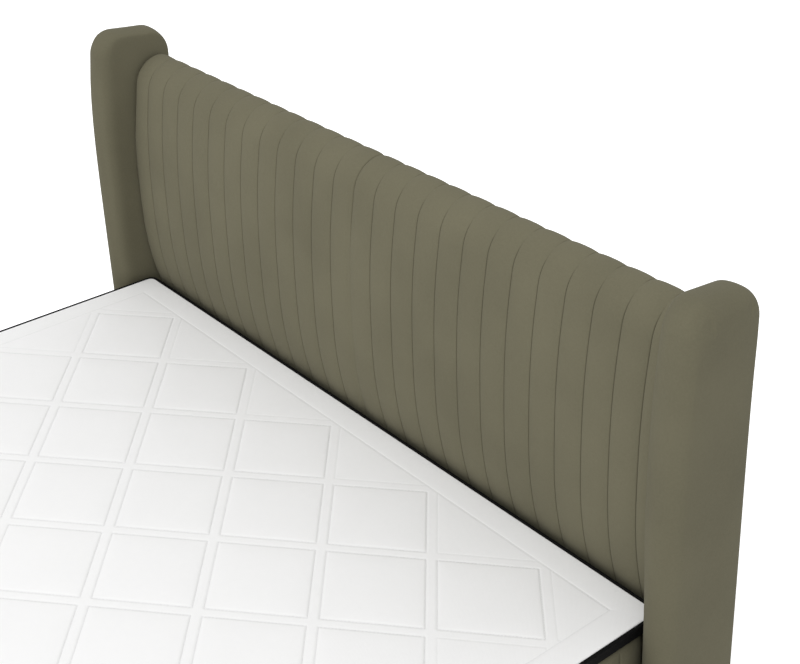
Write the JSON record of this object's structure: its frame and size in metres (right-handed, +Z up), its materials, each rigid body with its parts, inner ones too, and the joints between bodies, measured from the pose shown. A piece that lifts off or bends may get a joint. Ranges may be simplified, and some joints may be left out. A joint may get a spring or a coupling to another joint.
{
  "type": "box spring bed",
  "caption": "Upholstered box spring bed with sprung bases, a loose mattress and quilted topper, and a channelled headboard between padded wings.",
  "frame": {"origin": "on the floor, under the middle of the whole bed", "axes": "+X across the bed, +Y from its foot towards its headboard, +Z up"},
  "size_m": [1.988, 2.137, 1.2686],
  "materials": {
    "olive_velvet": "matte",
    "white_quilt": "matte",
    "black_band": "matte",
    "ticking": "matte",
    "grip_cloth": "matte",
    "dust_cloth": "matte",
    "foam": "matte",
    "spring_pockets": "matte",
    "timber": "matte",
    "fibreboard": "matte",
    "black_plastic": "matte",
    "zinc_steel": "satin"
  },
  "bodies": {
    "bed_base": {"box_connectors": "zinc_steel", "headboard_back_cover": "olive_velvet", "headboard_bolts": "zinc_steel", "headboard_dust_cover": "dust_cloth", "headboard_frame": "timber", "headboard_lower_board": "fibreboard", "headboard_lower_frame": "timber", "headboard_lower_pad": "olive_velvet", "left_box_deck": "fibreboard", "left_box_dust_cover": "dust_cloth", "left_box_feet": "black_plastic", "left_box_foot_border": "olive_velvet", "left_box_foot_plates": "zinc_steel", "left_box_frame": "timber", "left_box_head_border": "olive_velvet", "left_box_inner_border": "olive_velvet", "left_box_pad": "foam", "left_box_side_border": "olive_velvet", "left_box_springs": "spring_pockets", "left_box_top_cover": "grip_cloth", "left_cushion_board": "fibreboard", "left_headboard_cushion": "olive_velvet", "left_wing_core": "timber", "left_wing_pad": "olive_velvet", "right_box_deck": "fibreboard", "right_box_dust_cover": "dust_cloth", "right_box_feet": "black_plastic", "right_box_foot_border": "olive_velvet", "right_box_foot_plates": "zinc_steel", "right_box_frame": "timber", "right_box_head_border": "olive_velvet", "right_box_inner_border": "olive_velvet", "right_box_pad": "foam", "right_box_side_border": "olive_velvet", "right_box_springs": "spring_pockets", "right_box_top_cover": "grip_cloth", "right_cushion_board": "fibreboard", "right_headboard_cushion": "olive_velvet", "right_wing_core": "timber", "right_wing_pad": "olive_velvet", "wing_bolts": "zinc_steel", "wing_glides": "black_plastic"},
    "mattress": {"left_mattress_springs": "spring_pockets", "mattress_base_cover": "ticking", "mattress_base_pad": "foam", "mattress_border": "olive_velvet", "mattress_comfort_layer": "foam", "mattress_top_cover": "ticking", "right_mattress_springs": "spring_pockets"},
    "topper": {"topper_base_cover": "ticking", "topper_foam_core": "foam", "topper_side_band": "black_band", "topper_top_cover": "white_quilt"}
  },
  "joints": [
    {"name": "mattress_lift", "type": "slide", "parent": "bed_base", "child": "mattress", "axis": [0, -0.2588, 0.9659], "range_m": [0, 0.4]},
    {"name": "topper_lift", "type": "slide", "parent": "mattress", "child": "topper", "axis": [0, -0.2588, 0.9659], "range_m": [0, 0.3]}
  ]
}
